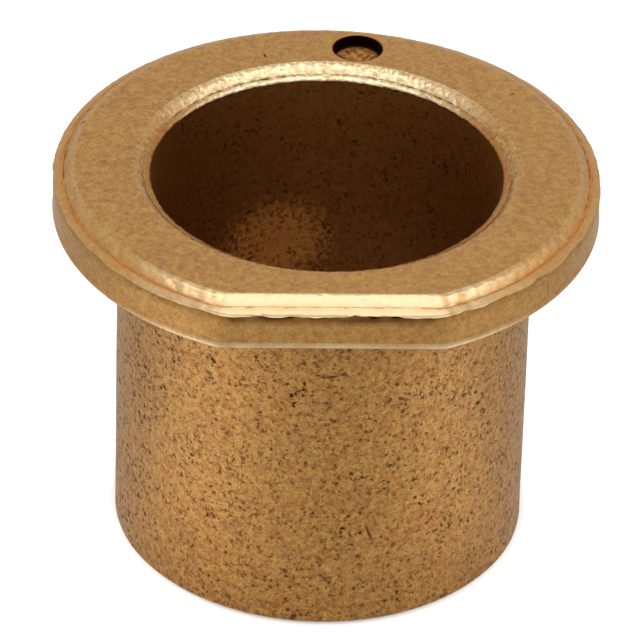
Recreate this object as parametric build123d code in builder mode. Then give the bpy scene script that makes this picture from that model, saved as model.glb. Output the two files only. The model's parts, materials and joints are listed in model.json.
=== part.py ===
from build123d import *
import os

# Flanged bronze bushing, pressed from powder, sintered and sized in one piece.
# Millimetres. The origin is on the bore's axis, in the plane of the face that the flange
# seats on. +Z points out through the flange, and the flange's flat faces -Y.

# The barrel and its bore
BORE_DIAMETER = 21.4
WALL_THICKNESS = 2.0
OVERALL_LENGTH = 25.4
BARREL_END_CHAMFER = 0.3
BORE_END_CHAMFER = 0.4

# The flange
FLANGE_REACH = 4.0            # how far its rim stands out past the barrel
FLANGE_THICKNESS = 3.175
FLAT_DEPTH = 1.4              # how much of the round rim the flat takes off
FLAT_CORNER_RADIUS = 2.0      # where the flat runs into the round rim
SEAT_EDGE_ROUND = 0.4         # the flange's lower edge
SEAT_CORNER_CHAMFER = 0.25    # fills the corner between the flange and the barrel

# The pressed edge round the rim and the flat: a 45 degree chamfer, a level land and a lip
RIM_CHAMFER = 0.52
RIM_LAND = 0.42
RIM_LIP_ROUND = 0.28
RIM_LIP_BAND = 0.08           # the straight band under the lip's round
RIM_LIP_OVERHANG = 0.06       # how far the lip stands out over the wall below it

# The same kind of edge round the bore's mouth
MOUTH_CHAMFER_WIDTH = 0.45
MOUTH_CHAMFER_DEPTH = 0.6
MOUTH_LAND = 0.15
MOUTH_LIP_ROUND = 0.3

# The blind locating hole in the flange's face, nearly opposite the flat
LOCATING_HOLE_DIAMETER = 3.1
LOCATING_HOLE_DEPTH = 1.05
LOCATING_HOLE_ANGLE = 80.6    # degrees from +X, anticlockwise as seen from +Z

# Heights and radii that follow from the sizes above
BORE_RADIUS = BORE_DIAMETER / 2
BARREL_RADIUS = BORE_RADIUS + WALL_THICKNESS
BARREL_END = FLANGE_THICKNESS - OVERALL_LENGTH
FLANGE_RADIUS = BARREL_RADIUS + FLANGE_REACH
FLAT_DISTANCE = FLANGE_RADIUS - FLAT_DEPTH
RIM_LAND_HEIGHT = FLANGE_THICKNESS - RIM_CHAMFER
RIM_LIP_HEIGHT = RIM_LIP_BAND + RIM_LIP_ROUND
RIM_WALL_HEIGHT = RIM_LAND_HEIGHT - RIM_LIP_HEIGHT
RIM_LAND_INSET = RIM_LIP_ROUND + RIM_LAND
MOUTH_LAND_HEIGHT = FLANGE_THICKNESS - MOUTH_CHAMFER_DEPTH
MOUTH_LAND_RADIUS = BORE_RADIUS + MOUTH_LIP_ROUND + MOUTH_LAND
MOUTH_RADIUS = MOUTH_LAND_RADIUS + MOUTH_CHAMFER_WIDTH
FACE_RADIUS = FLANGE_RADIUS - RIM_LAND_INSET - RIM_CHAMFER
LOCATING_HOLE_PITCH_RADIUS = (MOUTH_RADIUS + FACE_RADIUS) / 2


def flange_outline(inset):
    """The flange's round outline with its flat, drawn this far inside the lip."""
    with BuildSketch() as outline:
        Circle(FLANGE_RADIUS - inset)
        with Locations((0, inset - FLAT_DISTANCE)):
            Rectangle(
                2 * FLANGE_RADIUS,
                FLAT_DEPTH,
                align=(Align.CENTER, Align.MAX),
                mode=Mode.SUBTRACT,
            )
        fillet(outline.vertices(), FLAT_CORNER_RADIUS)
    return outline.sketch


with BuildPart() as bushing:
    # The flange's wall, with its rounded lower edge
    with BuildSketch(Plane.XY):
        add(flange_outline(RIM_LIP_OVERHANG))
    extrude(amount=RIM_WALL_HEIGHT)
    seat_face = bushing.faces().sort_by(Axis.Z)[0]
    fillet(seat_face.edges(), SEAT_EDGE_ROUND)

    # The lip that stands out over the wall, rolled over into the land
    with BuildSketch(Plane.XY.offset(RIM_WALL_HEIGHT)):
        add(flange_outline(0))
    extrude(amount=RIM_LIP_HEIGHT)
    land_face = bushing.faces().sort_by(Axis.Z)[-1]
    fillet(land_face.edges(), RIM_LIP_ROUND)

    # The raised face, whose chamfer runs down to the land
    with BuildSketch(Plane.XY.offset(RIM_LAND_HEIGHT)):
        add(flange_outline(RIM_LAND_INSET))
    extrude(amount=RIM_CHAMFER, taper=45)

    # The barrel, chamfered at its end, with a small slope in the corner under the flange
    with BuildSketch(Plane.XY.offset(BARREL_END)):
        Circle(BARREL_RADIUS)
    extrude(amount=-BARREL_END)
    barrel_wall = bushing.faces().filter_by(GeomType.CYLINDER).sort_by(Axis.Z)[0]
    end_edge, seat_corner = barrel_wall.edges().filter_by(GeomType.CIRCLE).sort_by(Axis.Z)
    chamfer(end_edge, BARREL_END_CHAMFER)
    chamfer(seat_corner, SEAT_CORNER_CHAMFER)

    # The bore: a chamfer at the barrel's end, and a lip, a land and a chamfer at its mouth
    with BuildSketch(Plane.XZ):
        with BuildLine():
            bore_wall = Polyline(
                (0, BARREL_END),
                (BORE_RADIUS + BORE_END_CHAMFER, BARREL_END),
                (BORE_RADIUS, BARREL_END + BORE_END_CHAMFER),
                (BORE_RADIUS, MOUTH_LAND_HEIGHT - MOUTH_LIP_ROUND),
            )
            mouth_lip = RadiusArc(
                bore_wall @ 1,
                (BORE_RADIUS + MOUTH_LIP_ROUND, MOUTH_LAND_HEIGHT),
                MOUTH_LIP_ROUND,
            )
            Polyline(
                mouth_lip @ 1,
                (MOUTH_LAND_RADIUS, MOUTH_LAND_HEIGHT),
                (MOUTH_RADIUS, FLANGE_THICKNESS),
                (0, FLANGE_THICKNESS),
                (0, BARREL_END),
            )
        make_face()
    revolve(axis=Axis.Z, mode=Mode.SUBTRACT)

    # The locating hole, midway between the bore's mouth and the rim's chamfer
    with BuildSketch(Plane.XY.offset(FLANGE_THICKNESS)):
        with PolarLocations(LOCATING_HOLE_PITCH_RADIUS, 1, start_angle=LOCATING_HOLE_ANGLE):
            Circle(LOCATING_HOLE_DIAMETER / 2)
    extrude(amount=-LOCATING_HOLE_DEPTH, mode=Mode.SUBTRACT)

bushing.part.label = "flanged_bushing"
os.makedirs("parts", exist_ok=True)
export_step(bushing.part, "parts/flanged_bushing.step")
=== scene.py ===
# %% [markdown]
# # A flanged sintered bronze bushing
# A sintered bushing starts as bronze powder. A press squeezes the powder in a die, an oven
# sinters it, and a second press sizes it. All that a buyer sees comes from those steps: the
# faces are smooth where a tool pressed them, the edges have small lips where metal crept into
# the gaps between the tools, and the barrel shows the pores between the grains.
#
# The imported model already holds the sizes. This script gives it its real surface, a camera and
# a small studio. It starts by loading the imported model, which nothing here moves or resizes.

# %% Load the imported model
import json
from math import cos, pi, radians, sin

import bmesh
import bpy
import numpy as np
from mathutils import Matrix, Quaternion, Vector, noise


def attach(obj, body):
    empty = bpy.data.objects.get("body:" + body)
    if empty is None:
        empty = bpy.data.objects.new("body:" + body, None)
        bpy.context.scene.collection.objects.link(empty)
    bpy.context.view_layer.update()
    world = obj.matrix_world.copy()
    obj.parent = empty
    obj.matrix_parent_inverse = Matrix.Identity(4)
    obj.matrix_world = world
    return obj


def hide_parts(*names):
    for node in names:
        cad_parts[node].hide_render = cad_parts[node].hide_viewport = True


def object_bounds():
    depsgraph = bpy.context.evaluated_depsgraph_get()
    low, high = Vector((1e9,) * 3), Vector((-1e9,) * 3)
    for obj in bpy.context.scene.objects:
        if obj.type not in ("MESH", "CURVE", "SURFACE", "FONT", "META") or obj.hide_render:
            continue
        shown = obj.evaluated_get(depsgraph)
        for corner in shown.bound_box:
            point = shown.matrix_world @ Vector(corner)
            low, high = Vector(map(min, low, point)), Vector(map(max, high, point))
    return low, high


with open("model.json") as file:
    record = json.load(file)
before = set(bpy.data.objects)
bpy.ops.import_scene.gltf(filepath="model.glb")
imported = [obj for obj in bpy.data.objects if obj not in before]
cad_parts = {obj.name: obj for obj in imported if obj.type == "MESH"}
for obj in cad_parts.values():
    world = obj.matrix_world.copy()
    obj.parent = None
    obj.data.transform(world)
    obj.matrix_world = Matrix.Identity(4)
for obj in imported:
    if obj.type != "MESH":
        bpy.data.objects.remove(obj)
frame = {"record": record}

MM = 0.001
CAD_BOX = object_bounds()
print("The packed model's box:", CAD_BOX)

# %% [markdown]
# ## The camera
# Small machined parts are best seen through a long lens from a little way off, so that the
# round edges stay round. The camera looks down at the flange by about 34 degrees, from almost
# straight in front of the flat. It is placed by its angle and its distance from a point on the
# bore's axis, because those are what one sets on a tripod.

# %% Place the camera
VIEW_AZIMUTH = radians(2.2)
VIEW_ELEVATION = radians(34.34)
VIEW_ROLL = radians(1.66)     # how far the camera leans to one side
VIEW_DISTANCE = 396.0 * MM
AIM = Vector((-0.16, 0.0, -8.28)) * MM
LENS = 361.25                 # mm, so long that the sides of the barrel stay nearly parallel

gaze = Vector((
    cos(VIEW_ELEVATION) * sin(VIEW_AZIMUTH),
    cos(VIEW_ELEVATION) * cos(VIEW_AZIMUTH),
    -sin(VIEW_ELEVATION),
))
lens = bpy.data.cameras.new("studio_camera")
lens.lens = LENS
camera = bpy.data.objects.new("studio_camera", lens)
camera.location = AIM - gaze * VIEW_DISTANCE
level = gaze.to_track_quat("-Z", "Y")
camera.rotation_mode = "QUATERNION"
camera.rotation_quaternion = level @ Quaternion((0, 0, 1), VIEW_ROLL)
bpy.context.scene.collection.objects.link(camera)
bpy.context.scene.camera = camera
bpy.context.scene.view_settings.view_transform = "Standard"
print("The camera stands at", [round(v, 4) for v in camera.location])

# %% [markdown]
# ## The sizes
# The main sizes come from the imported model: its box gives the flange's radius, the flat, its
# top and the barrel's end, and the record's mounts give the bore, the barrel and the small hole.
# Only the pressed edge's own sizes are written here. All of them are in millimetres, because
# that is how such a part is drawn.

# %% Read the main sizes
mounts = {mount["name"]: mount for mount in frame["record"]["mounts"]}
BORE_RADIUS = mounts["bore"]["dims"]["r_mm"]
BARREL_RADIUS = mounts["barrel"]["dims"]["r_mm"]
LIP_RADIUS = CAD_BOX[1][0] / MM
FACE_HEIGHT = CAD_BOX[1][2] / MM
BARREL_END = CAD_BOX[0][2] / MM
FLAT_DISTANCE = -CAD_BOX[0][1] / MM
HOLE_RADIUS = mounts["locating_hole"]["dims"]["r_mm"]
HOLE_DEPTH = mounts["locating_hole"]["dims"]["length_mm"]
HOLE_CENTRE = Vector(mounts["locating_hole"]["pos_m"][:2]) / MM
print("Bore, barrel and lip radius:", BORE_RADIUS, BARREL_RADIUS, round(LIP_RADIUS, 3))

# %% Name the pressed edges' sizes
RIM_CHAMFER = 0.52            # width and depth of the slope round the face
RIM_LAND = 0.42               # width of the land between that slope and the lip
RIM_LIP_ROUND = 0.28
RIM_LIP_BAND = 0.08           # the upright part of the lip
LIP_WIDTH = 0.51              # how far in the lip's sloping back reaches
LIP_FALL = 0.2                # how far that back slopes down
LIP_TURN = 0.12               # how far in the lip starts to turn down
WALL_INSET = 0.06             # how far the flange's wall lies inside the lip
UNDERCUT = 0.08               # how much further it lies just below the lip
SEAT_EDGE_BAND = 0.5          # height of the band that flares out along the lower edge
SEAT_EDGE_ROUND = 0.22
SEAT_CORNER = 0.25            # the slope in the corner under the flange
MOUTH_DEPTH = 0.48            # how far the face curves down into the bore's mouth
MOUTH_WIDTH = 0.66            # how far in from the face that curve runs
MOUTH_CURVE = 1.8             # 1 would be a straight slope, and more is hollower
MOUTH_LIP_ROUND = 0.32
MOUTH_CREASE = 0.1            # width of the crease between the curve and the lip
MOUTH_CREASE_DIP = 0.03       # how far that crease sinks
BORE_END_CHAMFER = 0.4
BARREL_END_CHAMFER = 0.3
GROOVE = 0.05                 # how deep the crease between a chamfer and its lip is
FLAT_GROOVE = 0.012           # the same along the flat, where the press has nearly closed it
RING_STEP = 0.01              # the small drop that keeps level rings apart

LAND_HEIGHT = FACE_HEIGHT - RIM_CHAMFER
LIP_SIDE = LAND_HEIGHT - RIM_LIP_ROUND
LIP_FOOT = LIP_SIDE - RIM_LIP_BAND
CHAMFER_INSET = RIM_LIP_ROUND + RIM_LAND
FACE_INSET = CHAMFER_INSET + RIM_CHAMFER
MOUTH_LIP_TOP = FACE_HEIGHT - MOUTH_DEPTH
MOUTH_LIP_SIDE = MOUTH_LIP_TOP - MOUTH_LIP_ROUND
MOUTH_CURVE_FOOT = MOUTH_LIP_ROUND + MOUTH_CREASE
MOUTH_EDGE = MOUTH_CURVE_FOOT + MOUTH_WIDTH
print("The lip stands", round(LIP_SIDE, 3), "mm above the seat")

# %% [markdown]
# ## The outline with its flat
# Seen from above, the flange is a circle with one side cut straight. Every edge of the flange
# follows that outline at its own distance inside it. One function therefore gives the distance
# from the axis to the outline for any angle and inset. Where the straight side meets the
# circle, a smooth minimum of the two rounds the corner, as the worn die does.

# %% Describe the outline
RING_POINTS = 800
ANGLES = np.linspace(0, 2 * pi, RING_POINTS, endpoint=False)
CORNER_BLEND = 0.15           # mm, gives a corner of about 1.5 mm radius


def smooth_minimum(a, b, blend):
    """The smaller of a and b, rounded off where they are within blend of each other."""
    share = np.clip(1 - np.abs(a - b) / blend, 0, 1)
    return np.minimum(a, b) - share**2 * blend / 4


def outline(inset):
    """The distance from the axis to the outline, all the way round, this far inside it."""
    round_part = np.full(RING_POINTS, LIP_RADIUS - inset)
    towards_flat = np.maximum(-np.sin(ANGLES), 0.05)
    flat_part = (FLAT_DISTANCE - inset) / towards_flat
    return smooth_minimum(round_part, flat_part, CORNER_BLEND)


def circle(radius):
    """The same distance from the axis all the way round."""
    return np.full(RING_POINTS, radius)


print("The flat runs", round(2 * (LIP_RADIUS**2 - FLAT_DISTANCE**2) ** 0.5, 1), "mm across")

# %% [markdown]
# ## The section, one ring at a time
# The skin is a grid: rings that run round the axis, stacked along the section. Each ring is a
# set of distances from the axis, a height and the name of the zone that it lies in. Walking the
# section from the bore's foot, up and over the flange and down the barrel, gives one closed
# skin. Rings lie close together where an edge turns and far apart on plain walls, which keeps
# the mesh light.

# %% Start the section with the bore and its mouth
rings = []


def ring(distance, height, zone):
    """Adds one ring of the skin."""
    rings.append((distance, height, zone))


def wall_rings(distance, heights, zone):
    """Adds a ring at each height of a straight wall."""
    for height in heights:
        ring(distance, height, zone)


def quarter(steps):
    """Angles from the start to the end of a rounded corner."""
    return np.linspace(0, pi / 2, steps)


ring(circle(BORE_RADIUS + BORE_END_CHAMFER), BARREL_END, "end")
bore_foot = BARREL_END + BORE_END_CHAMFER
wall_rings(circle(BORE_RADIUS), np.linspace(bore_foot, 1.0, 11), "bore")
wall_rings(circle(BORE_RADIUS), np.linspace(1.4, MOUTH_LIP_SIDE - 0.1, 3), "bore")
for turn in quarter(7):
    out = MOUTH_LIP_ROUND * (1 - cos(turn))
    ring(circle(BORE_RADIUS + out), MOUTH_LIP_SIDE + MOUTH_LIP_ROUND * sin(turn), "mouth_lip")
for share in (0.4, 0.8):
    crease = circle(BORE_RADIUS + MOUTH_LIP_ROUND + share * MOUTH_CREASE)
    ring(crease, MOUTH_LIP_TOP - MOUTH_CREASE_DIP, "mouth_crease")
for share in np.linspace(0, 0.95, 10):
    out = MOUTH_CURVE_FOOT + share * MOUTH_WIDTH
    height = FACE_HEIGHT - MOUTH_DEPTH * (1 - share) ** MOUTH_CURVE
    ring(circle(BORE_RADIUS + out), height, "mouth_chamfer")
print(len(rings), "rings up to the face")

# %% Cross the face and slope down to the land
SOFT_EDGE = 0.22              # mm that the face's edge is rounded over, on the round part
CRISP_EDGE = 0.16             # the same along the flat
FLAT_FADE = 0.3               # mm of setback over which the round part turns into the flat
on_flat = np.clip((LIP_RADIUS - outline(0)) / FLAT_FADE, 0, 1)
mouth = circle(BORE_RADIUS + MOUTH_EDGE)
softness = SOFT_EDGE + on_flat * (CRISP_EDGE - SOFT_EDGE)
rim_edge = outline(FACE_INSET) - softness
for share in np.linspace(0, 1, 11):
    ring(mouth + share * (rim_edge - mouth), FACE_HEIGHT, "face")
for share in (0.35, 0.7, 1.0):
    sunk = softness * share**2 / 2
    ring(rim_edge + 1.5 * share * softness, FACE_HEIGHT - sunk, "rim_chamfer")
for share in np.linspace(0.34, 0.9, 5):
    inset = FACE_INSET - share * RIM_CHAMFER
    ring(outline(inset), FACE_HEIGHT - share * RIM_CHAMFER, "rim_chamfer")
ring(outline(CHAMFER_INSET), LAND_HEIGHT - RING_STEP, "rim_chamfer")
print(len(rings), "rings up to the crease beside the lip")

# %% Roll over the rim's lip
FLAT_LIP_WIDER = 0.11         # mm that the lip's back is wider along the flat
FLAT_LIP_STEEPER = 0.09       # mm that it falls further there
LIP_TUCK = 0.03               # mm that the lip's foot lies in from its side
lip_start = LIP_WIDTH + FLAT_LIP_WIDER * on_flat
lip_fall = LIP_FALL + FLAT_LIP_STEEPER * on_flat
for share in (0.2, 0.5, 0.8):
    inset = CHAMFER_INSET - share * (CHAMFER_INSET - lip_start)
    ring(outline(inset), LAND_HEIGHT - RING_STEP * share, "rim_crease")
for share in np.linspace(0, 1, 5):
    inset = lip_start - share * (lip_start - LIP_TURN)
    ring(outline(inset), LAND_HEIGHT - RING_STEP - share * lip_fall, "rim_lip")
turn_height = LAND_HEIGHT - RING_STEP - lip_fall - LIP_FOOT
for turn in quarter(7)[1:]:
    inset = LIP_TURN * (1 - sin(turn))
    ring(outline(inset), LIP_FOOT + turn_height * cos(turn), "rim_lip")
ring(outline(LIP_TUCK), LIP_FOOT - RING_STEP, "rim_lip")
print(len(rings), "rings up to the lip's foot")

# %% Go down the flange's wall and under it
ring(outline(WALL_INSET + UNDERCUT), LIP_FOOT - RING_STEP, "undercut")
ring(outline(WALL_INSET + 0.8 * UNDERCUT), LIP_FOOT - 0.08, "undercut")
ring(outline(WALL_INSET + 0.2 * UNDERCUT), LIP_FOOT - 0.25, "wall")
wall_rings(outline(WALL_INSET), np.linspace(LIP_FOOT - 0.4, SEAT_EDGE_BAND, 6), "wall")
for share in (0.15, 0.5, 1.0):
    height = SEAT_EDGE_BAND - share * (SEAT_EDGE_BAND - SEAT_EDGE_ROUND)
    ring(outline(WALL_INSET * (1 - 0.5 * share**2)), height, "seat_edge")
for turn in quarter(5)[1:]:
    inset = 0.5 * WALL_INSET + SEAT_EDGE_ROUND * (1 - cos(turn))
    ring(outline(inset), SEAT_EDGE_ROUND * (1 - sin(turn)), "seat_edge")
seat_rim = outline(WALL_INSET + SEAT_EDGE_ROUND)
seat_foot = circle(BARREL_RADIUS + SEAT_CORNER)
for share in np.linspace(0.3, 1, 3):
    ring(seat_rim + share * (seat_foot - seat_rim), 0, "seat")
print(len(rings), "rings up to the barrel")

# %% Go down the barrel and close the skin
BARREL_RINGS = 28
end_edge = BARREL_END + BARREL_END_CHAMFER
wall_rings(circle(BARREL_RADIUS), np.linspace(-SEAT_CORNER, end_edge, BARREL_RINGS), "barrel")
ring(circle(BARREL_RADIUS - 0.3 * BARREL_END_CHAMFER), end_edge - 0.12, "barrel_edge")
ring(circle(BARREL_RADIUS - BARREL_END_CHAMFER), BARREL_END, "barrel_edge")
print(len(rings), "rings in all, for", 2 * len(rings) * RING_POINTS, "triangles")

# %% [markdown]
# ## What pressing leaves
# No pressed edge is even. The lips wander by up to a fifth of a millimetre, because they fill a
# worn gap between two tools, and the creases beside them open and close. The wandering comes
# from smooth noise sampled at the skin's own points in space, so it joins up all round. Each
# zone has its own strength and its own grain length. Nothing moves out past the solid's box, so
# the bushing keeps its outside size.

# %% Sample noise along the rings
zones = np.array([zone for _, _, zone in rings])
radii = np.array([distance for distance, _, _ in rings])
heights = np.array([np.full(RING_POINTS, height) for _, height, _ in rings])


def wander(length, seed, rows):
    """Smooth noise from 0 to 1 at the chosen rows of the grid, with waves this long in mm.

    The seed moves the sampling place, so that each use gets its own pattern.
    """
    found = np.zeros((len(rows), RING_POINTS))
    for place, row in enumerate(rows):
        for column, angle in enumerate(ANGLES):
            distance = radii[row, column]
            point = Vector((distance * cos(angle), distance * sin(angle), heights[row, column]))
            found[place, column] = noise.noise(point / length + Vector((seed, 0, 0)))
    return np.clip(0.5 + 1.3 * found, 0, 1)


def rows_of(*names):
    """The rows of the grid that lie in the named zones."""
    return np.flatnonzero(np.isin(zones, names))


print("Rim lip:", len(rows_of("rim_lip")), "rings")

# %% Let the lips and creases wander
RIM_WANDER = 0.21             # mm, the most that the rim's lip strays
MOUTH_WANDER = 0.05           # mm, the same for the lip of the mouth

lip_rows = rows_of("rim_lip")
lip_long = wander(1.5, 11.0, lip_rows[-1:])
lip_short = wander(0.7, 23.0, lip_rows[-1:])
lip_shift = RIM_WANDER * (0.75 * lip_long + 0.25 * lip_short)
lip_share = np.linspace(0, 1, len(lip_rows))[:, None]
radii[lip_rows] -= 0.6 * lip_shift * lip_share
heights[lip_rows] += 0.8 * lip_shift * lip_share**2
heights[rows_of("undercut")] += 0.8 * lip_shift

crease_rows = rows_of("rim_crease")
crease_depth = GROOVE + on_flat * (FLAT_GROOVE - GROOVE)
crease_shape = np.array([0.6, 1.2, 0.6])[:, None]
heights[crease_rows] -= crease_shape * crease_depth * wander(0.9, 31.0, crease_rows[1:2])

under_rows = rows_of("undercut")
radii[under_rows] -= UNDERCUT * (wander(1.4, 37.0, under_rows[:1]) - 0.4)

mouth_lip_rows = rows_of("mouth_lip")
mouth_shift = MOUTH_WANDER * wander(1.0, 41.0, mouth_lip_rows[-1:])
heights[mouth_lip_rows] -= mouth_shift * np.linspace(0.2, 1.2, len(mouth_lip_rows))[:, None]

mouth_crease_rows = rows_of("mouth_crease")
mouth_breaks = np.clip(3 * wander(0.45, 43.0, mouth_crease_rows[:1]) - 1.2, 0, 1)
mouth_back = np.clip(np.sin(ANGLES) * 2.0 - 0.6, 0.2, 1)
heights[mouth_crease_rows] -= 1.5 * GROOVE * mouth_breaks * mouth_back
print("The rim's lip wanders by up to", round(float(lip_shift.max()), 3), "mm")

# %% Roughen the chamfers and the walls
ROUGH = {                     # zone: (depth in mm, grain length in mm, seed)
    "mouth_chamfer": (0.05, 0.26, 51.0),
    "mouth_lip": (0.05, 0.3, 69.0),
    "rim_chamfer": (0.05, 0.45, 53.0),
    "rim_lip": (0.03, 0.4, 57.0),
    "face": (0.012, 2.2, 59.0),
    "barrel": (0.012, 3.0, 61.0),
    "wall": (0.015, 1.2, 63.0),
    "barrel_edge": (0.03, 0.8, 67.0),
}
FACING_UP = ("face", "mouth_chamfer", "mouth_lip", "rim_chamfer")
for zone, (depth, length, seed) in ROUGH.items():
    rows = rows_of(zone)
    sunk = depth * wander(length, seed, rows)
    if zone in FACING_UP:
        heights[rows] -= sunk
    else:
        radii[rows] -= sunk
print("Roughened", len(ROUGH), "zones")

# %% [markdown]
# ## Turning the rings into a skin
# The grid becomes a mesh by joining each ring to the next and the last to the first, as a
# doughnut's skin closes in both directions. Building it from lists of points and faces is much
# quicker than adding faces one by one.

# %% Join the rings
ring_count = len(rings)
x = radii * np.cos(ANGLES) * MM
y = radii * np.sin(ANGLES) * MM
points = np.stack((x, y, heights * MM), axis=-1).reshape(-1, 3)

row, column = np.meshgrid(np.arange(ring_count), np.arange(RING_POINTS), indexing="ij")
next_row = (row + 1) % ring_count
next_column = (column + 1) % RING_POINTS
corners = (
    row * RING_POINTS + column,
    row * RING_POINTS + next_column,
    next_row * RING_POINTS + next_column,
    next_row * RING_POINTS + column,
)
faces = np.stack(corners, axis=-1).reshape(-1, 4)

skin = bpy.data.meshes.new("bushing_skin")
skin.from_pydata(points.tolist(), [], faces.tolist())
bushing = bpy.data.objects.new("bushing_skin", skin)
bpy.context.scene.collection.objects.link(bushing)
print("The skin has", len(skin.vertices), "points and", len(skin.polygons), "faces")

# %% [markdown]
# ## Where the finish changes
# One bronze covers the whole bushing, but its finish is not the same all over. The barrel and
# the bore keep open pores, the pressed flange has few. The edges are worn pale where hands and
# trays touch them, most of all along the flat and at the back of the mouth, and the same pale
# colour paints highlights there, round the flat's corners and along the flange's and the
# barrel's lower edges. Old oil gathers in the creases and under the lip, and the same dark
# colour paints shade there, on the wall below the lip, under the flange, in the bore, round
# the front of the mouth and in the locating hole. Copper shows where the metal was stretched,
# and its tint also warms some of that painted shade. So four numbers are stored at each point:
# how open the pores are, how much wear and painted highlight there is, how much old oil and
# painted shade lies there and how much copper shows. Each zone has a plain strength, and masks
# change it on the way round.

# %% Masks that run round the bushing
CREASE_TINT_WIDTH = 0.21      # mm to each side of the rim's crease
CREASE_TINT_SHIFT = 0.09      # mm that the tint's middle lies outside the chamfer's foot
FLAT_REACH = 50               # degrees to each side of the flat that wear and the painted highlight reach

rim_rows = rows_of("rim_chamfer", "rim_crease", "rim_lip")
from_flat = np.degrees(np.abs((ANGLES + pi / 2 + pi) % (2 * pi) - pi))
near_flat = np.maximum(on_flat, np.clip((FLAT_REACH - from_flat) / 26, 0, 1))
beyond_flat = np.clip((from_flat - FLAT_REACH) / 25, 0, 1)
at_front = np.clip(-2.5 * np.sin(ANGLES) - 0.8, 0, 1)    # the flat's side of the mouth
at_back = np.clip(np.sin(ANGLES) * 2.0 - 0.85, 0, 1)     # the side with the locating hole
left_side = np.clip(-np.cos(ANGLES), 0, 1)
# Breaks in the wear and in the painted highlight round the rim.
rim_breaks = np.clip(on_flat + 0.4 + 1.1 * wander(0.45, 77.0, lip_rows[:1]), 0, 1)
past_crease = outline(0) - radii[rim_rows] - CHAMFER_INSET + CREASE_TINT_SHIFT
crease_tint = np.exp(-(past_crease / CREASE_TINT_WIDTH) ** 2) * (1 - 0.5 * near_flat)
print("The worn part of the rim spans", int((near_flat > 0.5).sum() * 360 / RING_POINTS), "degrees")


# %% Helpers that store the numbers
def by_zone(strengths):
    """A grid of numbers with each zone's plain strength, and 0 in the zones not named."""
    values = np.repeat([strengths.get(zone, 0.0) for zone in zones], RING_POINTS)
    return values.reshape(ring_count, RING_POINTS)


def store(name, values):
    """Keeps a number for each point of the skin, for the material to read."""
    skin.attributes.new(name, "FLOAT", "POINT").data.foreach_set("value", values.ravel())
    print(name, "runs from", round(float(values.min()), 2), "to", round(float(values.max()), 2))


# %% Open pores
pores = by_zone({
    "barrel": 1.0, "bore": 0.85, "seat": 0.5, "end": 0.5, "mouth_lip": 0.45,
    "mouth_chamfer": 0.45, "barrel_edge": 0.3, "face": 0.16, "wall": 0.16, "seat_edge": 0.15,
    "rim_chamfer": 0.14, "undercut": 0.1,
})
pores[rows_of("barrel")] += 0.35 * beyond_flat
pores[rows_of("face")] += 0.14 * left_side
store("pores", pores)

# %% Worn metal and painted highlights
SEAT_HIGHLIGHT_BAND = (0.25, 0.5, 0.7, 0.65, 0.45, 0.25, 0.1)   # painted highlight with some wear, down the flange's lower edge

mouth_edge_rows = rows_of("mouth_chamfer", "mouth_lip")
seat_rows = rows_of("seat_edge")
# Wear, with painted highlights in the same pale colour: along the flat and round its corners, at
# the back of the mouth, and along the flange's and the barrel's lower edges.
worn = by_zone({
    "mouth_lip": 1.0, "barrel_edge": 0.9, "seat_edge": 0.8, "mouth_chamfer": 0.75,
    "rim_chamfer": 0.7, "rim_lip": 0.6, "rim_crease": 0.6,
})
worn[rim_rows] *= 0.12 + 0.88 * near_flat * rim_breaks
worn[rim_rows] *= 1 - 0.7 * (1 - on_flat) * crease_tint
worn[mouth_edge_rows] *= 0.1 + 0.9 * at_back * (0.5 + 0.8 * wander(0.24, 83.0, mouth_edge_rows))
worn[seat_rows] *= np.array(SEAT_HIGHLIGHT_BAND)[:, None]
worn[seat_rows] *= (0.1 + 0.9 * near_flat) * (0.7 + 0.6 * wander(1.3, 79.0, seat_rows[:1]))
store("worn", worn)

# %% Old oil and painted shade
UNDER_FLANGE = ((0.3,), (0.22,), (0.14,), (0.06,))    # painted shade under the flange, down the barrel's first rings

under_breaks = wander(1.1, 73.0, under_rows[:1])
under_shade = 0.55 + 0.3 * wander(1.6, 89.0, under_rows[-1:])[0]
# Painted shade in the mouth's crease, under the lip and on the wall just below it, under the
# flange, in the bore and more on its left, and round the front of the mouth. Old oil also lies in
# the creases and under the lip.
grime = by_zone({"mouth_crease": 0.8, "undercut": 0.8, "bore": 0.12})
grime[rows_of("bore")] += 0.2 * left_side
grime[mouth_crease_rows] *= mouth_breaks * mouth_back
grime[under_rows] *= (0.3 + 0.7 * on_flat) * (0.6 + 0.7 * under_breaks)
grime[mouth_lip_rows] = 0.3 * (1 - at_back) + 0.3 * at_front
grime[under_rows[-1] + 1] = on_flat * under_shade
grime[under_rows[-1] + 2] = 0.5 * on_flat * under_shade
grime[rows_of("barrel")[:4]] = UNDER_FLANGE
grime[rows_of("mouth_chamfer")[:-2]] = 0.55 * at_front
store("grime", grime)

# %% Copper
copper_breaks = wander(1.2, 71.0, crease_rows[1:2])
# The copper tint also warms the painted shade in the bore, under the lip and round the front of the
# mouth.
copper = by_zone({"mouth_crease": 0.5, "bore": 0.45, "seat_edge": 0.1})
copper[rim_rows] = crease_tint * (1 - 0.6 * at_back) * (0.35 + 0.55 * copper_breaks)
copper[under_rows] = 0.4 * on_flat
copper[mouth_edge_rows] = 0.9 * at_front
copper[rows_of("mouth_lip", "mouth_crease")] = 0.6 * (1 - at_back)
store("copper", copper)

# %% [markdown]
# ## The locating hole
# A core pin in the upper punch leaves a shallow round hole in the flange's face. A boolean cut
# suits it better than more rings, because the hole has its own centre. The cutter is a short
# lathed plug with a softened rim. Its floor is a shallow uneven cone, because a small pin's tip
# wears and the powder under it packs last.

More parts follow.
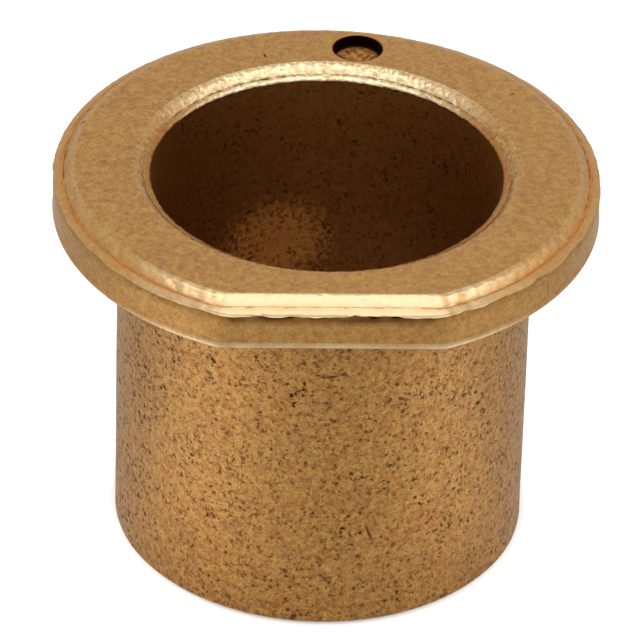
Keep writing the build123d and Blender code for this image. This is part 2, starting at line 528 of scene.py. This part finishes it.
# %% Lathe the plug
HOLE_SIDES = 72
HOLE_RIM = 0.08               # mm, the softened edge
FLOOR_RIM = 0.25              # mm that the floor stands higher at its edge
FLOOR_SLOPE = 0.3             # mm of fall for each mm towards the middle
FLOOR_ROUGH = 0.1             # mm, how uneven the floor is
FLOOR_GRAINS = 0.3            # mm, the length of that unevenness
plug_section = (
    (HOLE_RADIUS + 2 * HOLE_RIM, FACE_HEIGHT + HOLE_RIM),
    (HOLE_RADIUS, FACE_HEIGHT - HOLE_RIM),
    (HOLE_RADIUS, FACE_HEIGHT - HOLE_DEPTH + 0.3),
    *[(HOLE_RADIUS - run, FACE_HEIGHT - HOLE_DEPTH + FLOOR_RIM - FLOOR_SLOPE * run)
      for run in (0.1, 0.25, 0.4, 0.55, 0.7, 0.85, 1.0, 1.2)],
)
plug_mesh = bmesh.new()
plug_rings = []
for radius, height in plug_section:
    plug_ring = []
    rough = FLOOR_ROUGH if radius < HOLE_RADIUS - 0.1 else 0.0
    for side in range(HOLE_SIDES):
        angle = 2 * pi * side / HOLE_SIDES
        place = HOLE_CENTRE + radius * Vector((cos(angle), sin(angle)))
        grains = noise.noise(Vector((place.x, place.y, 0)) / FLOOR_GRAINS)
        level = (height + rough * grains) * MM
        plug_ring.append(plug_mesh.verts.new((place.x * MM, place.y * MM, level)))
    plug_rings.append(plug_ring)
for upper, lower in zip(plug_rings, plug_rings[1:]):
    for side in range(HOLE_SIDES):
        after = (side + 1) % HOLE_SIDES
        plug_mesh.faces.new((upper[side], upper[after], lower[after], lower[side]))
plug_mesh.faces.new(plug_rings[0])
plug_mesh.faces.new(plug_rings[-1])
bmesh.ops.recalc_face_normals(plug_mesh, faces=plug_mesh.faces)
plug_data = bpy.data.meshes.new("hole_plug")
plug_mesh.to_mesh(plug_data)
plug_mesh.free()
plug = bpy.data.objects.new("hole_plug", plug_data)
bpy.context.scene.collection.objects.link(plug)
print("The plug has", len(plug_data.polygons), "faces")

# %% Cut the hole
cut = bushing.modifiers.new("locating_hole", "BOOLEAN")
cut.operation = "DIFFERENCE"
cut.solver = "EXACT"
cut.object = plug
ready = bushing.evaluated_get(bpy.context.evaluated_depsgraph_get())
cut_skin = bpy.data.meshes.new_from_object(ready)
bushing.modifiers.remove(cut)
bushing.data = cut_skin
bpy.data.objects.remove(plug)
print("With its hole the skin has", len(cut_skin.polygons), "faces")

# %% Darken the hole and smooth the skin
SHARP_FOLD = radians(38)      # sharper folds than this keep a crisp edge
spots = np.zeros(len(cut_skin.vertices) * 3)
cut_skin.vertices.foreach_get("co", spots)
spots = spots.reshape(-1, 3) / MM
from_pin = np.hypot(spots[:, 0] - HOLE_CENTRE.x, spots[:, 1] - HOLE_CENTRE.y)
in_hole = (from_pin < HOLE_RADIUS + 0.5 * HOLE_RIM) & (spots[:, 2] > 0)
on_floor = in_hole & (from_pin < HOLE_RADIUS - 0.15)
on_pin_rim = (from_pin < HOLE_RADIUS + 2 * HOLE_RIM) & ~in_hole & (spots[:, 2] > 0)
point_values = np.zeros(len(spots))
oil_and_shade_data = cut_skin.attributes["grime"].data
oil_and_shade_data.foreach_get("value", point_values)
# Painted shade: the hole's walls are nearly black and its floor is a little dark.
point_values[in_hole] = 1.0
point_values[on_floor] = 0.25
oil_and_shade_data.foreach_set("value", point_values)
for name, here, strength in (("copper", on_floor, 0.3), ("copper", on_pin_rim, 0.8)):
    data = cut_skin.attributes[name].data
    data.foreach_get("value", point_values)
    point_values[here] = strength
    data.foreach_set("value", point_values)
cut_skin.shade_smooth()
cut_skin.set_sharp_from_angle(angle=SHARP_FOLD)
print(int(in_hole.sum()), "points lie in the hole")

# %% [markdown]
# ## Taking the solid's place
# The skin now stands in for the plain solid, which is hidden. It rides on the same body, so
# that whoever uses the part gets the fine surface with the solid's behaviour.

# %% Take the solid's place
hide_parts("flanged_bushing")
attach(bushing, "root")
print("The skin takes the place of the solid")

# %% [markdown]
# ## The bronze
# Sintered bronze is copper with about a tenth of tin. It stays a true metal, so it is metallic
# all through and its colour tints what it reflects. Three things tell the eye that it is not
# cast or turned. Its surface is satin, because it is made of fused grains. It has dark pores
# wherever grains left a gap, and a thin film of oil and heat tint mottles it from tan to
# orange-brown. Where a tool slid over it, the grains are smeared flat, paler and shinier. The
# same pale colour also paints highlights on some edges, and a dark oil colour also paints shade
# in creases and hollows.

# %% Helpers for colours and nodes
def linear(hex_colour):
    """An sRGB hex colour as the linear numbers that Blender works in."""
    numbers = [int(hex_colour[place:place + 2], 16) / 255 for place in (1, 3, 5)]
    return [n / 12.92 if n <= 0.04045 else ((n + 0.055) / 1.055) ** 2.4 for n in numbers] + [1.0]


def node(tree, kind, feeds=None, **settings):
    """Adds a node with its settings, and feeds its sockets with values or other nodes."""
    made = tree.nodes.new(kind)
    for name, value in settings.items():
        setattr(made, name, value)
    for socket, value in (feeds or {}).items():
        if isinstance(value, bpy.types.NodeSocket):
            tree.links.new(value, made.inputs[socket])
        else:
            made.inputs[socket].default_value = value
    return made


def per_metre(size_mm):
    """The texture scale that gives a pattern of this size."""
    return 1 / (size_mm * MM)


# %% Colours of the bronze
GOLD_TAN = linear("#B28846")        # the bronze itself
ORANGE_BROWN = linear("#9A602A")    # the heat tint that the sintering oven leaves
ROSE_BROWN = linear("#946646")      # grains with more copper in them
PALE_WEAR_AND_HIGHLIGHT = linear("#E4D2AA")       # grains smeared flat, and painted highlights
COPPER_RED = linear("#BA7830")      # stretched metal in the creases, and the warm hue of the painted shade in the bore, under the lip and round the front of the mouth
PORE_BROWN = linear("#3C1E0A")      # the oily inside of a pore
OIL_AND_SHADE_BROWN = linear("#52290E")       # old oil, and painted shade in creases, hollows and under the lip
DEEP_SHADE_BLACK = linear("#160B04")       # painted shade, nearly black: the hole's walls and the darkest spots under the lip, where old oil lies too
LIT_PATCH_GOLD = linear("#FFB45C")     # painted light on the bore's far wall
EDGE_GOLD = linear("#F6EBDA")       # what the metal mirrors at a grazing angle
print("The bronze in linear colour:", [round(v, 3) for v in GOLD_TAN[:3]])

# %% Start the material and read the four numbers
bronze = bpy.data.materials.new("sintered_bronze_oiled")
bronze.use_nodes = True
tree = bronze.node_tree
tree.nodes.clear()
where = node(tree, "ShaderNodeTexCoord").outputs["Object"]
pores_here = node(tree, "ShaderNodeAttribute", attribute_name="pores").outputs["Fac"]
wear_and_highlight_here = node(tree, "ShaderNodeAttribute", attribute_name="worn").outputs["Fac"]
oil_and_shade_here = node(tree, "ShaderNodeAttribute", attribute_name="grime").outputs["Fac"]
copper_here = node(tree, "ShaderNodeAttribute", attribute_name="copper").outputs["Fac"]
print("The bronze reads pores, worn, grime and copper from the skin")

# %% Tints and grain
HEAT_TINT_SIZE = 0.42         # mm, the orange and tan patches
ROSE_TINT_SIZE = 0.75         # mm, where copper shows more
GRAIN_SIZE = 0.13             # mm, the fused powder grains
heat_noise = node(tree, "ShaderNodeTexNoise",
                  {"Vector": where, "Scale": per_metre(HEAT_TINT_SIZE), "Detail": 4.0,
                   "Roughness": 0.65})
rose_noise = node(tree, "ShaderNodeTexNoise",
                  {"Vector": where, "W": 5.0, "Scale": per_metre(ROSE_TINT_SIZE),
                   "Detail": 4.0, "Roughness": 0.7},
                  noise_dimensions="4D")
grain = node(tree, "ShaderNodeTexNoise",
             {"Vector": where, "Scale": per_metre(GRAIN_SIZE), "Detail": 2.0,
              "Roughness": 0.6})
heat = node(tree, "ShaderNodeMapRange",
            {"Value": heat_noise.outputs["Fac"], "From Min": 0.4, "From Max": 0.66})
rose = node(tree, "ShaderNodeMapRange",
            {"Value": rose_noise.outputs["Fac"], "From Min": 0.5, "From Max": 0.72,
             "To Max": 0.6})
patchy = node(tree, "ShaderNodeMapRange", {"Value": pores_here, "To Min": 0.65})
less_heat = node(tree, "ShaderNodeMath",
                 {0: heat.outputs["Result"], 1: patchy.outputs["Result"]},
                 operation="MULTIPLY")
less_rose = node(tree, "ShaderNodeMath",
                 {0: rose.outputs["Result"], 1: patchy.outputs["Result"]},
                 operation="MULTIPLY")
heated = node(tree, "ShaderNodeMix",
              {"Factor": less_heat.outputs["Value"], "A": GOLD_TAN, "B": ORANGE_BROWN},
              data_type="RGBA")
tint = node(tree, "ShaderNodeMix",
            {"Factor": less_rose.outputs["Value"], "A": heated.outputs["Result"],
             "B": ROSE_BROWN},
            data_type="RGBA")
print("Tints and grain made")

# %% [markdown]
# ## The pores
# A sintered bushing is a fifth empty space, so that it can hold oil. The openings are 0.1 to
# 0.3 mm wide, mostly small and ragged, with a few larger ones where coarse grains met. The
# low spots of a fine noise give the small ones, and the middles of Voronoi cells, bent by the
# same noise, give the larger ones. A slower noise makes some areas more open than others.

# %% Pores
SMALL_PORE_SIZE = 0.26        # mm, noise waves whose lowest spots are the small pores
LARGE_PORE_SPACING = 0.85     # mm between the larger pores
LARGE_PORE_BEND = 0.35        # mm that the noise may bend their outline
PORE_PATCH_SIZE = 2.2         # mm, areas with more and fewer pores
small_noise = node(tree, "ShaderNodeTexNoise",
                   {"Vector": where, "W": 2.0, "Scale": per_metre(SMALL_PORE_SIZE),
                    "Detail": 3.0, "Roughness": 0.55, "Distortion": 0.6},
                   noise_dimensions="4D")
small_pores = node(tree, "ShaderNodeMapRange",
                   {"Value": small_noise.outputs["Fac"], "From Min": 0.48,
                    "From Max": 0.34})
bend = node(tree, "ShaderNodeVectorMath",
            {0: small_noise.outputs["Color"], "Scale": LARGE_PORE_BEND * MM},
            operation="SCALE")
bent = node(tree, "ShaderNodeVectorMath",
            {0: where, 1: bend.outputs["Vector"]},
            operation="ADD")
large_cells = node(tree, "ShaderNodeTexVoronoi",
                   {"Vector": bent.outputs["Vector"],
                    "Scale": per_metre(LARGE_PORE_SPACING)})
large_pores = node(tree, "ShaderNodeMapRange",
                   {"Value": large_cells.outputs["Distance"], "From Min": 0.2,
                    "From Max": 0.11})
patch_noise = node(tree, "ShaderNodeTexNoise",
                   {"Vector": where, "W": 9.0, "Scale": per_metre(PORE_PATCH_SIZE),
                    "Detail": 2.0},
                   noise_dimensions="4D")
patches = node(tree, "ShaderNodeMapRange",
               {"Value": patch_noise.outputs["Fac"], "From Min": 0.35, "From Max": 0.65,
                "To Min": 0.45, "To Max": 1.0})
deepest = node(tree, "ShaderNodeMath",
               {0: small_pores.outputs["Result"], 1: large_pores.outputs["Result"]},
               operation="MAXIMUM")
in_patches = node(tree, "ShaderNodeMath",
                  {0: deepest.outputs["Value"], 1: patches.outputs["Result"]},
                  operation="MULTIPLY")
pore_amount = node(tree, "ShaderNodeMath",
                   {0: in_patches.outputs["Value"], 1: pores_here},
                   operation="MULTIPLY")
print("Pores made")

# %% [markdown]
# ## Marks of handling
# A stored bushing picks up a few small marks: short scratches, a dent in an edge and stray
# larger pores. Each one is an ellipsoid in space, and what lies inside it is dark and sunk. Its
# place is an angle round the axis, a distance from the axis and a height.

# %% Marks
MARK_SINK = 0.25              # mm, half the ellipsoid's size through the metal
MARKS = (                     # angle, distance, height, half width, half height, lean, depth
    (-89.5, BARREL_RADIUS, -3.72, 0.55, 0.09, 7, 0.85),
    (-86.0, BARREL_RADIUS, -3.6, 0.35, 0.08, -12, 0.8),
    (-89.7, BARREL_RADIUS, -4.5, 0.2, 0.12, 0, 0.5),
    (-80.4, BARREL_RADIUS, -13.85, 0.12, 0.2, 20, 0.8),
    (-77.8, BARREL_RADIUS, -15.4, 0.11, 0.75, 20, 0.8),
    (-43.4, BARREL_RADIUS, -8.3, 0.26, 0.18, 0, 0.95),
    (-98.0, BARREL_RADIUS, -21.7, 0.2, 0.35, -30, 0.8),
    (-81.0, BARREL_RADIUS, -4.6, 0.3, 0.1, 12, 0.6),
    (-70.0, BARREL_RADIUS, -6.2, 0.35, 0.08, -8, 0.5),
    (-105.0, BARREL_RADIUS, -17.4, 0.28, 0.09, 20, 0.6),
    (-118.0, BARREL_RADIUS, -11.0, 0.12, 0.3, 10, 0.6),
    (-38.8, 16.62, 1.4, 0.05, 0.5, 4, 0.7),
    (-112.0, 16.62, 1.2, 0.05, 0.35, -12, 0.4),
    (162.5, 15.55, 3.05, 0.13, 0.2, 0, 0.9),
    (156.1, 15.77, 2.95, 0.13, 0.25, 0, 0.9),
    (106.2, 12.86, 3.17, 0.1, 0.1, 0, 0.9),
    (35.0, 14.2, 3.17, 0.09, 0.1, 0, 0.7),
)
marks = None
for angle, distance, height, half_width, half_height, lean, depth in MARKS:
    turn = radians(angle)
    size = node(tree, "ShaderNodeMapping",
                {"Vector": where,
                 "Location": (distance * cos(turn) * MM, distance * sin(turn) * MM, height * MM),
                 "Rotation": (radians(lean), 0, turn),
                 "Scale": (MARK_SINK * MM, half_width * MM, half_height * MM)},
                vector_type="TEXTURE")
    away = node(tree, "ShaderNodeVectorMath", {0: size.outputs["Vector"]}, operation="LENGTH")
    mark = node(tree, "ShaderNodeMapRange",
                {"Value": away.outputs["Value"], "From Min": 1.2, "From Max": 0.5,
                 "To Max": depth})
    marks = mark.outputs["Result"] if marks is None else node(
        tree, "ShaderNodeMath", {0: marks, 1: mark.outputs["Result"]},
        operation="MAXIMUM").outputs["Value"]
all_pores = node(tree, "ShaderNodeMath", {0: pore_amount.outputs["Value"], 1: marks},
                 operation="MAXIMUM")
print(len(MARKS), "marks placed")

# %% [markdown]
# ## A painted patch of light
# A patch of light is painted on the bore's far wall, so that one area is brighter than the dark
# wall. It is an ellipsoid as the marks are, but the pore noise frays its edge. It is flat
# enough to stay inside the wall, so that nothing of it shows on the barrel.

# %% A painted patch of light in the bore
PATCH_ANGLE = radians(105)
PATCH_HEIGHT = -9.2           # mm
PATCH_DEPTH = 0.95            # mm, half its size through the wall
PATCH_WIDTH = 3.1             # mm, half its size round the bore
PATCH_LENGTH = 2.3            # mm, half its size along the bore
patch_place = node(tree, "ShaderNodeMapping",
                   {"Vector": where,
                    "Location": (BORE_RADIUS * cos(PATCH_ANGLE) * MM,
                                 BORE_RADIUS * sin(PATCH_ANGLE) * MM, PATCH_HEIGHT * MM),
                    "Rotation": (0, 0, PATCH_ANGLE),
                    "Scale": (PATCH_DEPTH * MM, PATCH_WIDTH * MM, PATCH_LENGTH * MM)},
                   vector_type="TEXTURE")
patch_away = node(tree, "ShaderNodeVectorMath", {0: patch_place.outputs["Vector"]},
                  operation="LENGTH")
ragged = node(tree, "ShaderNodeMath",
              {0: small_noise.outputs["Fac"], 1: -2.6, 2: patch_away.outputs["Value"]},
              operation="MULTIPLY_ADD")
painted_light_patch = node(tree, "ShaderNodeMapRange",
              {"Value": ragged.outputs["Value"], "From Min": 0.1, "From Max": -0.7,
               "To Max": 0.85})
print("Rubbed patch placed")

# %% [markdown]
# ## Putting the finish together
# The layers go on in this order: the tinted bronze with its grain, the worn spots with the
# painted highlights, the copper, the oil with the painted shade, the painted patch of light and,
# deepest of all, the pores. Worn metal is shinier than grained metal. The oil is a clear coat,
# which pores and the dark oil and painted shade break up. A pale gold tint at grazing angles
# keeps the rounded edges from looking grey.

# %% Lay the colours over one another
swing = node(tree, "ShaderNodeMapRange",
             {"Value": grain.outputs["Fac"], "From Min": 0.3, "From Max": 0.7,
              "To Min": -0.24, "To Max": 0.3})
coarse = node(tree, "ShaderNodeMapRange", {"Value": pores_here, "To Min": 0.65, "To Max": 1.15})
speck = node(tree, "ShaderNodeMath",
             {0: swing.outputs["Result"], 1: coarse.outputs["Result"], 2: 1.0},
             operation="MULTIPLY_ADD")
grained = node(tree, "ShaderNodeVectorMath",
               {0: tint.outputs["Result"], "Scale": speck.outputs["Value"]},
               operation="SCALE")
smeared_and_highlighted = node(tree, "ShaderNodeMix",
               {"Factor": wear_and_highlight_here, "A": grained.outputs["Vector"], "B": PALE_WEAR_AND_HIGHLIGHT},
               data_type="RGBA")
coppered = node(tree, "ShaderNodeMix",
                {"Factor": copper_here, "A": smeared_and_highlighted.outputs["Result"], "B": COPPER_RED},
                data_type="RGBA")
oiled_and_shaded = node(tree, "ShaderNodeMix",
             {"Factor": oil_and_shade_here, "A": coppered.outputs["Result"], "B": OIL_AND_SHADE_BROWN},
             data_type="RGBA")
deep_shade = node(tree, "ShaderNodeMapRange", {"Value": oil_and_shade_here, "From Min": 0.85})
blackened = node(tree, "ShaderNodeMix",
                 {"Factor": deep_shade.outputs["Result"], "A": oiled_and_shaded.outputs["Result"],
                  "B": DEEP_SHADE_BLACK},
                 data_type="RGBA")
lit_patch_grain = node(tree, "ShaderNodeVectorMath",
                    {0: LIT_PATCH_GOLD[:3], "Scale": speck.outputs["Value"]}, operation="SCALE")
lit_patch_laid = node(tree, "ShaderNodeMix",
                  {"Factor": painted_light_patch.outputs["Result"], "A": blackened.outputs["Result"],
                   "B": lit_patch_grain.outputs["Vector"]},
                  data_type="RGBA")
pored = node(tree, "ShaderNodeMix",
             {"Factor": all_pores.outputs["Value"], "A": lit_patch_laid.outputs["Result"],
              "B": PORE_BROWN},
             data_type="RGBA")
print("Colours layered")

# %% Gloss, relief and the film of oil
GRAINED = 0.46                # roughness of grained metal
SMEARED = 0.26                # roughness where the grains are smeared flat
FILM = 0.4                    # weight of the oil's clear coat
RELIEF = 0.03                 # mm, the height of the finest grain
PORE_SINK = -1.2              # how deep a pore is, counted in heights of the grain
roughness = node(tree, "ShaderNodeMapRange",
                 {"Value": wear_and_highlight_here, "From Max": 0.4, "To Min": GRAINED, "To Max": SMEARED})
grain_height = node(tree, "ShaderNodeMapRange", {"Value": pores_here, "To Min": 0.3})
grain_relief = node(tree, "ShaderNodeMath",
                    {0: grain.outputs["Fac"], 1: grain_height.outputs["Result"]},
                    operation="MULTIPLY")
relief = node(tree, "ShaderNodeMath",
              {0: all_pores.outputs["Value"], 1: PORE_SINK, 2: grain_relief.outputs["Value"]},
              operation="MULTIPLY_ADD")
bump = node(tree, "ShaderNodeBump",
            {"Height": relief.outputs["Value"], "Strength": 0.5, "Distance": RELIEF * MM})
no_film = node(tree, "ShaderNodeMath", {0: all_pores.outputs["Value"], 1: oil_and_shade_here},
               operation="MAXIMUM")
film = node(tree, "ShaderNodeMapRange",
            {"Value": no_film.outputs["Value"], "To Min": FILM, "To Max": 0.0})
shader = node(tree, "ShaderNodeBsdfPrincipled",
              {"Base Color": pored.outputs["Result"], "Metallic": 1.0,
               "Roughness": roughness.outputs["Result"], "Normal": bump.outputs["Normal"],
               "Specular Tint": EDGE_GOLD, "Coat Weight": film.outputs["Result"],
               "Coat Roughness": 0.32, "Coat IOR": 1.47})
node(tree, "ShaderNodeOutputMaterial", {"Surface": shader.outputs["BSDF"]})
cut_skin.materials.clear()
cut_skin.materials.append(bronze)
print("The bronze has", len(tree.nodes), "nodes")

# %% [markdown]
# ## The paper sweep
# A white sweep suits metal, because metal shows what stands round it. The floor is a sheet of
# pale matte paper that takes the bushing's soft shadow. The open paper has to look plain white,
# so it glows a little to the lens and in reflections, but not under the bushing. That glow is
# only seen. It lights nothing.

# %% White floor
FLOOR_SIZE = 3.0              # m
floor_mesh = bpy.data.meshes.new("floor")
half = FLOOR_SIZE / 2
floor_height = BARREL_END * MM
floor_mesh.from_pydata(
    [(-half, -half, floor_height), (half, -half, floor_height),
     (half, half, floor_height), (-half, half, floor_height)],
    [], [(0, 1, 2, 3)],
)
floor = bpy.data.objects.new("floor", floor_mesh)
bpy.context.scene.collection.objects.link(floor)
print("The floor lies at", round(floor_height, 5), "m")

# %% White paper
PAPER = linear("#D2D2D2")
LENS_LIFT = 0.62              # added for the lens, so that the open floor is white
MIRROR_LIFT = 0.06            # added for reflections in the metal
SHADE_INNER = 11.7            # mm from the axis, inside which the bushing shades the paper
SHADE_OUTER = 13.6            # mm from the axis, where the paper is open again
paper = bpy.data.materials.new("white_paper_sweep")
paper.use_nodes = True
paper_tree = paper.node_tree
paper_tree.nodes.clear()
spot = node(paper_tree, "ShaderNodeTexCoord").outputs["Object"]
flat_spot = node(paper_tree, "ShaderNodeVectorMath", {0: spot, 1: (1, 1, 0)},
                 operation="MULTIPLY")
from_axis = node(paper_tree, "ShaderNodeVectorMath", {0: flat_spot.outputs["Vector"]},
                 operation="LENGTH")
open_paper = node(paper_tree, "ShaderNodeMapRange",
                  {"Value": from_axis.outputs["Value"], "From Min": SHADE_INNER * MM,
                   "From Max": SHADE_OUTER * MM})
paper_path = node(paper_tree, "ShaderNodeLightPath")
for_lens = node(paper_tree, "ShaderNodeMath",
                {0: paper_path.outputs["Is Camera Ray"], 1: LENS_LIFT},
                operation="MULTIPLY")
for_both = node(paper_tree, "ShaderNodeMath",
                {0: paper_path.outputs["Is Glossy Ray"], 1: MIRROR_LIFT,
                 2: for_lens.outputs["Value"]},
                operation="MULTIPLY_ADD")
lift = node(paper_tree, "ShaderNodeMath",
            {0: for_both.outputs["Value"], 1: open_paper.outputs["Result"]},
            operation="MULTIPLY")
matte = node(paper_tree, "ShaderNodeBsdfDiffuse", {"Color": PAPER})
glow = node(paper_tree, "ShaderNodeEmission",
            {"Color": (1, 1, 1, 1), "Strength": lift.outputs["Value"]})
both = node(paper_tree, "ShaderNodeAddShader",
            {0: matte.outputs["BSDF"], 1: glow.outputs["Emission"]})
node(paper_tree, "ShaderNodeOutputMaterial", {"Surface": both.outputs["Shader"]})
floor_mesh.materials.append(paper)
print("The paper has", len(paper_tree.nodes), "nodes")

# %% [markdown]
# ## The white room
# The rest of the studio is an even white room. It fills the shadows and gives the metal a calm
# surround to mirror. Its walls look white, but they light the bushing a little less than they
# show, so that the lamps can model its shape.

# %% White room
ROOM_FILL = 0.8               # how much the room lights, where 1 is how white it looks
room = bpy.data.worlds.new("white_room")
room.use_nodes = True
room_tree = room.node_tree
room_tree.nodes.clear()
room_path = node(room_tree, "ShaderNodeLightPath")
straight = node(room_tree, "ShaderNodeMath",
                {0: room_path.outputs["Is Camera Ray"], 1: room_path.outputs["Is Glossy Ray"]},
                operation="MAXIMUM")
level_of_room = node(room_tree, "ShaderNodeMapRange",
                     {"Value": straight.outputs["Value"], "To Min": ROOM_FILL, "To Max": 1.0})
white = node(room_tree, "ShaderNodeBackground",
             {"Color": (1, 1, 1, 1), "Strength": level_of_room.outputs["Result"]})
node(room_tree, "ShaderNodeOutputWorld", {"Surface": white.outputs["Background"]})
bpy.context.scene.world = room
print("The room fills the shade at", ROOM_FILL)

# %% [markdown]
# ## The lamps
# A large soft lamp hangs in front and above, where the chamfer on the flat turns its light to
# the lens, and two smaller wings carry that highlight a little way round the corners. A window
# on the right lights the wall of the flange. The barrel is upright, so from above it mirrors
# the paper around its foot. Two small lamps hang just over the paper and make two bright pools
# there, which the barrel shows as a soft light band on each side of a darker middle.

# %% Lamps
def soft_lamp(name, place, aim, width, depth, level):
    """A rectangular soft lamp at a place in metres, facing its aim.

    Its level is its brightness, counted so that white paper in full light is 1.
    """
    lamp = bpy.data.lights.new(name, "AREA")
    lamp.shape = "RECTANGLE"
    lamp.size = width
    lamp.size_y = depth
    lamp.energy = level * pi * width * depth
    made = bpy.data.objects.new(name, lamp)
    made.location = place
    made.rotation_mode = "QUATERNION"
    made.rotation_quaternion = (Vector(aim) - Vector(place)).to_track_quat("-Z", "Y")
    made.visible_camera = False
    bpy.context.scene.collection.objects.link(made)
    return made


LAMP_ELEVATION = radians(66)
LAMP_DISTANCE = 0.5           # m
BUSHING = (0, 0, 0)           # the large lamps face it, and the two small ones face the paper
lamp_place = (0.015, -LAMP_DISTANCE * cos(LAMP_ELEVATION), LAMP_DISTANCE * sin(LAMP_ELEVATION))
soft_lamp("front_lamp", lamp_place, BUSHING, width=0.42, depth=0.62, level=0.85)
soft_lamp("left_wing", (-0.27, -0.11, 0.42), BUSHING, width=0.22, depth=0.2, level=1.5)
soft_lamp("right_wing", (0.28, -0.11, 0.42), BUSHING, width=0.22, depth=0.2, level=1.5)
soft_lamp("right_window", (0.4, -0.02, 0.26), BUSHING, width=0.3, depth=0.16, level=0.8)
soft_lamp("left_lamp", (-0.032, -0.022, -0.010), (-0.032, -0.022, -0.02), 0.034, 0.03, 2.45)
soft_lamp("right_lamp", (0.029, -0.018, -0.012), (0.029, -0.018, -0.02), 0.026, 0.02, 2.2)
print("Six lamps lit")
